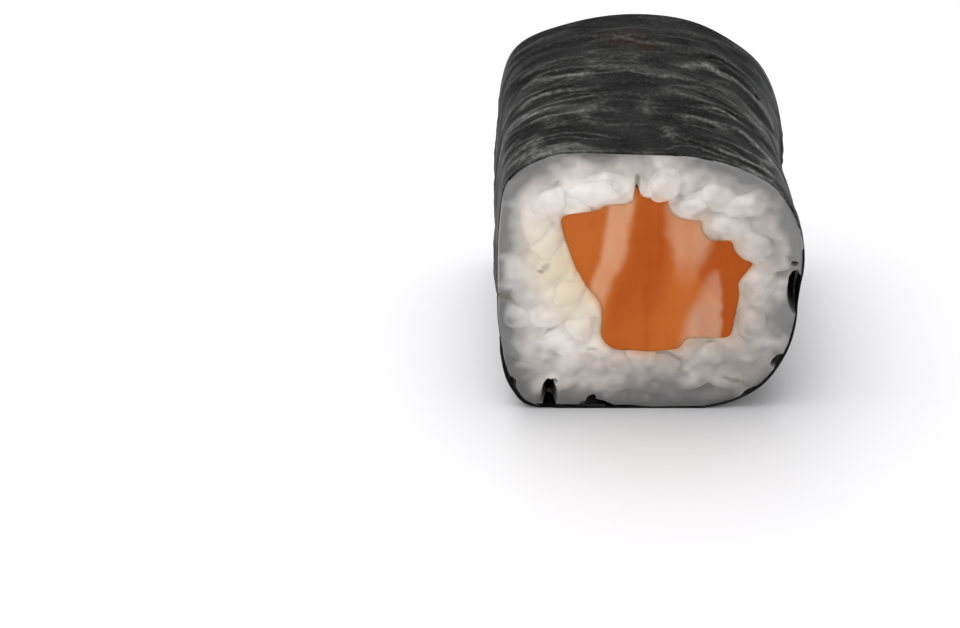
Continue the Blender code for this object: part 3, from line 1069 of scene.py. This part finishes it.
@dataclass(frozen=True)
class RoastedNoriFinish:
    """Roasted seaweed, softened by the rice: near black, with a dull satin shine.

    A range gives the noise values that it starts and ends at, then the shares that they become.
    """

    sheet: str = "0b0c0b"
    haze: str = "1c1d1c"
    fluff: str = "4b4c4a"
    # Pale grey painted onto the crinkles and ridges as their sheen.
    ridge_sheen: str = "858482"
    patch: str = "24140e"
    # Black painted into the pits, and at the front edge where the sheet shows through gaps in the rice,
    # as their shade.
    pit_shade: str = "000000"
    fibre_mm: float = 0.45
    haze_mm: tuple[float, float] = (5.0, 1.6)
    spread_mm: tuple[float, float] = (7.0, 3.5)
    crinkles: tuple[tuple[float, ...], ...] = ((7.0, 2.9, 0.2, 0.42), (4.4, 1.6, 0.2, 0.2))
    wander: float = 2.1
    spread_range: tuple[float, ...] = (0.44, 0.64)
    haze_range: tuple[float, ...] = (0.38, 0.66)
    sheen_break_range: tuple[float, ...] = (0.35, 0.65, 0.35, 1.35)
    fluff_range: tuple[float, ...] = (0.5, 0.8, 0.0, 0.28)
    bump_mm: float = 0.12

    def drawn_out(
        self, graph: Graph, sheet: NodeSocket, size_mm: tuple[float, float], level: float
    ) -> Node:
        """Noise drawn out round the roll.

        Args:
            graph: The material's nodes.
            sheet: Millimetres round and along the roll.
            size_mm: Size of the noise round and along the roll.
            level: Where in the noise's third direction, so that each use differs.

        Returns:
            The noise.
        """
        inputs = {0: sheet, 1: (1.0 / size_mm[0], 1.0 / size_mm[1], 0.0), 2: (0.0, 0.0, level)}
        place = graph.add("ShaderNodeVectorMath", inputs, operation="MULTIPLY_ADD")
        return graph.add("ShaderNodeTexNoise", {"Vector": place, "Scale": 1.0, "Detail": 1.0})

    def crinkle(self, graph: Graph, sheet: NodeSocket, run: NodeSocket, size: tuple[float, ...]) -> Node:
        """Wandering lines round the roll: s (1 - |fraction(y / wide + k n) - 0.5| / t).

        Args:
            graph: The material's nodes.
            sheet: Millimetres round and along the roll.
            run: Millimetres along the roll alone.
            size: Length, spacing `wide`, half width t as a share of the spacing, and strength s.

        Returns:
            The strength of the lines.
        """
        long_mm, wide_mm, thin, strength = size
        noise = self.drawn_out(graph, sheet, (long_mm, 1.6 * wide_mm), long_mm)
        ramp = graph.add("ShaderNodeMath", {0: run, 1: 1.0 / wide_mm, 2: 0.5}, operation="MULTIPLY_ADD")
        phase = {0: noise, 1: self.wander, 2: ramp}
        phase = graph.add("ShaderNodeMath", phase, operation="MULTIPLY_ADD")
        off = graph.add("ShaderNodeMath", {0: phase, 1: 0.5}, operation="PINGPONG")
        return graph.add("ShaderNodeMapRange", {0: off, 1: thin, 2: 0.0, 4: strength})

    def build(self) -> Material:
        """The material, which reads `sheet` as (round, along, ridge_sheen) and `wear` as (sheen_share,
        patch, pit_shade): painted sheen on the crinkles and ridges, brown patches, and painted shade in
        the pits.

        Returns:
            The material.
        """
        graph = Graph("roasted_nori")
        sheet = graph.add("ShaderNodeAttribute", {}, attribute_name="sheet").outputs["Vector"]
        part, wear = graph.parts("sheet"), graph.parts("wear")
        flat = graph.add("ShaderNodeVectorMath", {0: sheet, 1: (1.0, 1.0, 0.0)}, operation="MULTIPLY")
        fine = {"Vector": flat, "Scale": 1.0 / self.fibre_mm, "Detail": 3.0, "Roughness": 0.6}
        fibre = graph.add("ShaderNodeTexNoise", fine)
        broad, narrow = (self.crinkle(graph, sheet, part["Y"], size) for size in self.crinkles)
        lines = graph.add("ShaderNodeMath", {0: broad, 1: narrow}, operation="ADD")
        noise = self.drawn_out(graph, sheet, self.spread_mm, 2.0)
        spread = graph.add("ShaderNodeMapRange", dict(enumerate((noise, *self.spread_range))))
        lines = graph.add("ShaderNodeMath", {0: lines, 1: spread}, operation="MULTIPLY")
        # Painted sheen: the crinkle lines, strongest where the sheet faces the light, with the ridges'
        # painted shine, broken up by fibre noise.
        shown = {0: lines, 1: wear["X"], 2: part["Z"]}
        shown = graph.add("ShaderNodeMath", shown, operation="MULTIPLY_ADD")
        sheen_break = graph.add("ShaderNodeMapRange", dict(enumerate((fibre, *self.sheen_break_range))))
        shown = graph.add("ShaderNodeMath", {0: shown, 1: sheen_break}, operation="MULTIPLY")
        noise = self.drawn_out(graph, sheet, self.haze_mm, 5.0)
        haze = graph.add("ShaderNodeMapRange", dict(enumerate((noise, *self.haze_range))))
        fluff = graph.add("ShaderNodeMapRange", dict(enumerate((fibre, *self.fluff_range))))
        layers = (
            (haze, self.haze), (wear["Y"], self.patch), (fluff, self.fluff), (shown, self.ridge_sheen),
            (wear["Z"], self.pit_shade),
        )
        rough = graph.add("ShaderNodeMath", {0: fibre, 1: 0.15, 2: lines}, operation="MULTIPLY_ADD")
        bump = {"Height": rough, "Strength": 0.8, "Distance": self.bump_mm * MM}
        graph.feed(graph.shader, {
            "Base Color": graph.layered(self.sheet, layers),
            "Normal": graph.add("ShaderNodeBump", bump),
            "Roughness": 0.45,
            "Specular IOR Level": 0.04,
        })
        return graph.material


@dataclass(frozen=True)
class Mark:
    """An oval mark on the sheet: its angle, share along the roll, and half sizes in millimetres."""

    angle: float
    share: float
    half_around: float
    half_along: float

    def mask(self, angles: Array, share: Array) -> Array:
        """exp(-d^4) of the distance d in half sizes.

        Args:
            angles: Rays, in radians.
            share: Share of the way along.

        Returns:
            The mask at each point.
        """
        around = np.radians(turn_from(angles, self.angle)) * FORM.mean_radius / self.half_around
        along = (share - self.share) * FORM.length / self.half_along
        return np.exp(-((around**2 + along**2) ** 2))


@dataclass(frozen=True)
class NoriForm:
    """The sheet of nori, rolled once round the rice with its outer end lapped over its start."""

    columns: int = 420
    rows: int = 108
    clear_height: float = 3.0
    slant: float = 0.06
    crease_height: float = 0.3
    pit_depth: float = 0.14
    finish: RoastedNoriFinish = RoastedNoriFinish()
    wrinkles: tuple[tuple[float, ...], ...] = (
        (0.10, 60.0, 75.0, 0.050, 0.22), (0.22, 118.0, 70.0, 0.060, 0.26),
        (0.34, 35.0, 60.0, 0.050, 0.30), (0.45, 95.0, 85.0, 0.055, 0.22),
        (0.58, 20.0, 55.0, 0.060, 0.32), (0.66, 135.0, 60.0, 0.050, 0.24),
        (0.80, 70.0, 80.0, 0.060, 0.22), (0.90, 10.0, 50.0, 0.050, 0.24),
        (0.18, 185.0, 45.0, 0.060, 0.22), (0.52, 175.0, 50.0, 0.060, 0.26),
        (0.82, 190.0, 45.0, 0.055, 0.22), (0.30, 330.0, 35.0, 0.060, 0.22),
        (0.74, 325.0, 35.0, 0.060, 0.24),
    )
    # Pits, and two spots at the front edge behind gaps in the rice: each dents the sheet and is painted
    # black as its shade.
    pits_and_edge_shade: tuple[Mark, ...] = (
        Mark(41.5, 0.69, 0.45, 0.35), Mark(70.0, 0.24, 0.45, 0.35),
        Mark(-7.4, 0.02, 2.2, 1.6), Mark(234.7, 0.02, 0.9, 1.6),
    )
    patches: tuple[Mark, ...] = (Mark(101.0, 0.81, 2.2, 1.2), Mark(93.0, 0.75, 1.4, 0.8))

    def swell(self, angles: Array, share: Array) -> Array:
        """Broad wrinkles: each a low ridge round the roll, h exp(-(distance / width)^2).

        Args:
            angles: Rays, in radians.
            share: Share of the way along.

        Returns:
            The height out of the outline.
        """
        height = np.zeros(np.broadcast(angles, share).shape)
        for middle, centre, reach, width, tall in self.wrinkles:
            turn = turn_from(angles, centre)
            along = (share - middle - self.slant * np.sin(np.radians(3.0 * turn))) / width
            height = np.maximum(height, tall * bell(along) * (1.0 - ease(np.abs(turn) / reach)))
        return height

    def bend(self, around: Array, y: Array) -> Array:
        """How far along the roll a crease strays from a straight ring, in millimetres."""
        broad = lattice_noise(around / 6.0, y / 5.0, 31) - 0.5
        return 2.4 * broad + 0.5 * (lattice_noise(around / 2.6, y / 2.0, 32) - 0.5)

    def creases(self, around: Array, y: Array) -> Array:
        """Fine creases: ridged noise (1 - |2n - 1|)^3, long round the roll and short along it.

        Args:
            around: Millimetres round the roll.
            y: Millimetres along the roll.

        Returns:
            The height as a share from 0 to 1.
        """
        bend = self.bend(around, y)
        total = 0.0
        for size, share, seed in ((1.0, 0.65, 33), (0.5, 0.35, 34)):
            n = lattice_noise(around / (9.0 * size), (y + bend) / (1.9 * size), seed)
            total = total + share * (1.0 - np.abs(2.0 * n - 1.0)) ** 3
        return total

    def wear(self, angles: Array, share: Array, crease: Array) -> tuple[Array, Array]:
        """Where painted sheen shows on the sheet: most on the upper right, and less towards the back.

        Args:
            angles: Rays, in radians.
            share: Share of the way along.
            crease: Height of the creases as a share.

        Returns:
            How strongly the crinkles' painted sheen shows, and the painted shine of the ridges.
        """
        # Painted sheen: most on the flanks that face the light, least towards the back.
        right = np.clip(facing(angles, 40.0), 0.0, 1.0) ** 5
        left = np.clip(facing(angles, 150.0), 0.0, 1.0) ** 3
        sheen_share = (0.3 + 1.4 * right + 0.8 * left) * (1.0 - 0.65 * ease((share - 0.55) / 0.4))
        ridge_sheen = ease((crease - 0.45) / 0.5) * (0.12 + 0.32 * right + 0.22 * left)
        return sheen_share, ridge_sheen * (1.0 - 0.7 * ease((share - 0.4) / 0.45))

    def build(self) -> Object:
        """The sheet as a spiral grid with its thickness inward.

        Returns:
            The piece.
        """
        lap = FORM.lap_inner_angle - FORM.lap_outer_angle
        travel = np.linspace(0.0, 360.0 + lap, self.columns + 1)
        angles = np.radians(FORM.lap_inner_angle - travel)
        under = 1.0 - ease((travel - lap - 2.0) / (FORM.lap_ease_angle - 3.0))
        share = np.linspace(0.0, 1.0, self.rows + 1)[:, None]
        y = (share - 0.5) * FORM.length
        around = np.radians(travel) * FORM.mean_radius
        outline = FORM.roll_radius(angles, share)
        lift = ease((FORM.axis_z + outline * np.sin(angles)) / self.clear_height)
        edge = np.abs(2.0 * share - 1.0) ** 8
        flank = 0.45 + 0.55 * np.maximum(facing(angles, 25.0), facing(angles, 165.0)) ** 2
        crease = self.creases(around, y)
        pit_shade = np.max([mark.mask(angles, share) for mark in self.pits_and_edge_shade], axis=0)
        relief = self.swell(angles, share) + self.crease_height * flank * (crease - 0.25)
        relief = relief * (1.0 - edge) * lift - self.pit_depth * pit_shade
        depth = under * (FORM.nori_thickness + FORM.lap_gap) * FORM.slope(angles, share)
        wave = edge * FORM.nori_end(angles, share)
        points = FORM.place(angles, outline - depth + relief, y + wave)
        piece = grid_object("nori_sheet", points, closed=False)
        sheen_share, ridge_sheen = self.wear(angles, share, crease)
        patch = 0.7 * np.max([mark.mask(angles, share) for mark in self.patches], axis=0)
        run = y + 0.55 * self.bend(around, y)
        sheet = np.stack(np.broadcast_arrays(around, run, ridge_sheen), axis=-1)
        dress(piece, self.finish.build(), sheet=sheet, wear=np.stack([sheen_share, patch, pit_shade], axis=-1))
        thick = piece.modifiers.new("sheet thickness", "SOLIDIFY")
        thick.thickness = FORM.nori_thickness * MM
        thick.offset = -1.0
        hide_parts("nori")
        return piece


@dataclass(frozen=True)
class Studio:
    """A white table under one broad soft light, and the camera that looks down at the roll."""

    table: str = "d6d6d8"
    sky: float = 0.66
    light_power: float = 2.4
    camera_mm: tuple[float, float, float] = (-15.97, -211.0, 152.4)
    look_down_degrees: float = 35.5
    lens_mm: float = 98.25
    table_half: float = 3.0
    light_at: tuple[float, float, float] = (-0.075, 0.06, 0.43)
    light_size: tuple[float, float] = (0.5, 0.4)

    def build(self) -> None:
        """Table, surroundings, light and camera."""
        bpy.context.scene.view_settings.view_transform = "Standard"
        self.lay_table()
        self.light_up()
        self.place_camera()

    def lay_table(self) -> None:
        """A white square with its middle at the origin."""
        half = self.table_half
        mesh = bpy.data.meshes.new("table")
        corners = [(-half, -half, 0.0), (half, -half, 0.0), (half, half, 0.0), (-half, half, 0.0)]
        mesh.from_pydata(corners, [], [(0, 1, 2, 3)])
        floor = bpy.data.objects.new("table", mesh)
        bpy.context.scene.collection.objects.link(floor)
        graph = Graph("white_table")
        graph.feed(graph.shader, {"Base Color": linear(self.table), "Roughness": 0.8})
        mesh.materials.append(graph.material)

    def light_up(self) -> None:
        """White surroundings and a soft light that faces the origin."""
        scene = bpy.context.scene
        scene.world = bpy.data.worlds.new("studio")
        scene.world.use_nodes = True
        background = scene.world.node_tree.nodes["Background"]
        background.inputs["Color"].default_value = (1.0, 1.0, 1.0, 1.0)
        background.inputs["Strength"].default_value = self.sky
        lamp = bpy.data.lights.new("soft light", "AREA")
        lamp.shape = "RECTANGLE"
        lamp.size, lamp.size_y = self.light_size
        lamp.energy = self.light_power
        light = bpy.data.objects.new("soft light", lamp)
        light.location = self.light_at
        light.rotation_euler = light.location.to_track_quat("Z", "Y").to_euler()
        scene.collection.objects.link(light)

    def place_camera(self) -> None:
        """The camera, which looks along +Y and down."""
        scene = bpy.context.scene
        lens = bpy.data.cameras.new("camera")
        lens.lens, lens.sensor_width = self.lens_mm, 36.0
        lens.clip_start, lens.clip_end = 0.01, 10.0
        camera = bpy.data.objects.new("camera", lens)
        camera.location = Vector(self.camera_mm) * MM + Vector((SHIFT.x, 0.0, 0.0))
        camera.rotation_euler = Euler((math.radians(90.0 - self.look_down_degrees), 0.0, 0.0))
        scene.collection.objects.link(camera)
        scene.camera = camera


def main() -> None:
    """Builds the studio and the roll's pieces."""
    logging.basicConfig(level=logging.INFO)
    Studio().build()
    rice = RiceForm()
    core = rice.build()
    pieces = [NoriForm().build(), core, rice.loose_grains(core), SalmonForm().build()]
    for piece in pieces:
        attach(piece, "root")
        log.info("%s: %d faces", piece.name, len(piece.data.polygons))


if __name__ == "__main__":
    main()
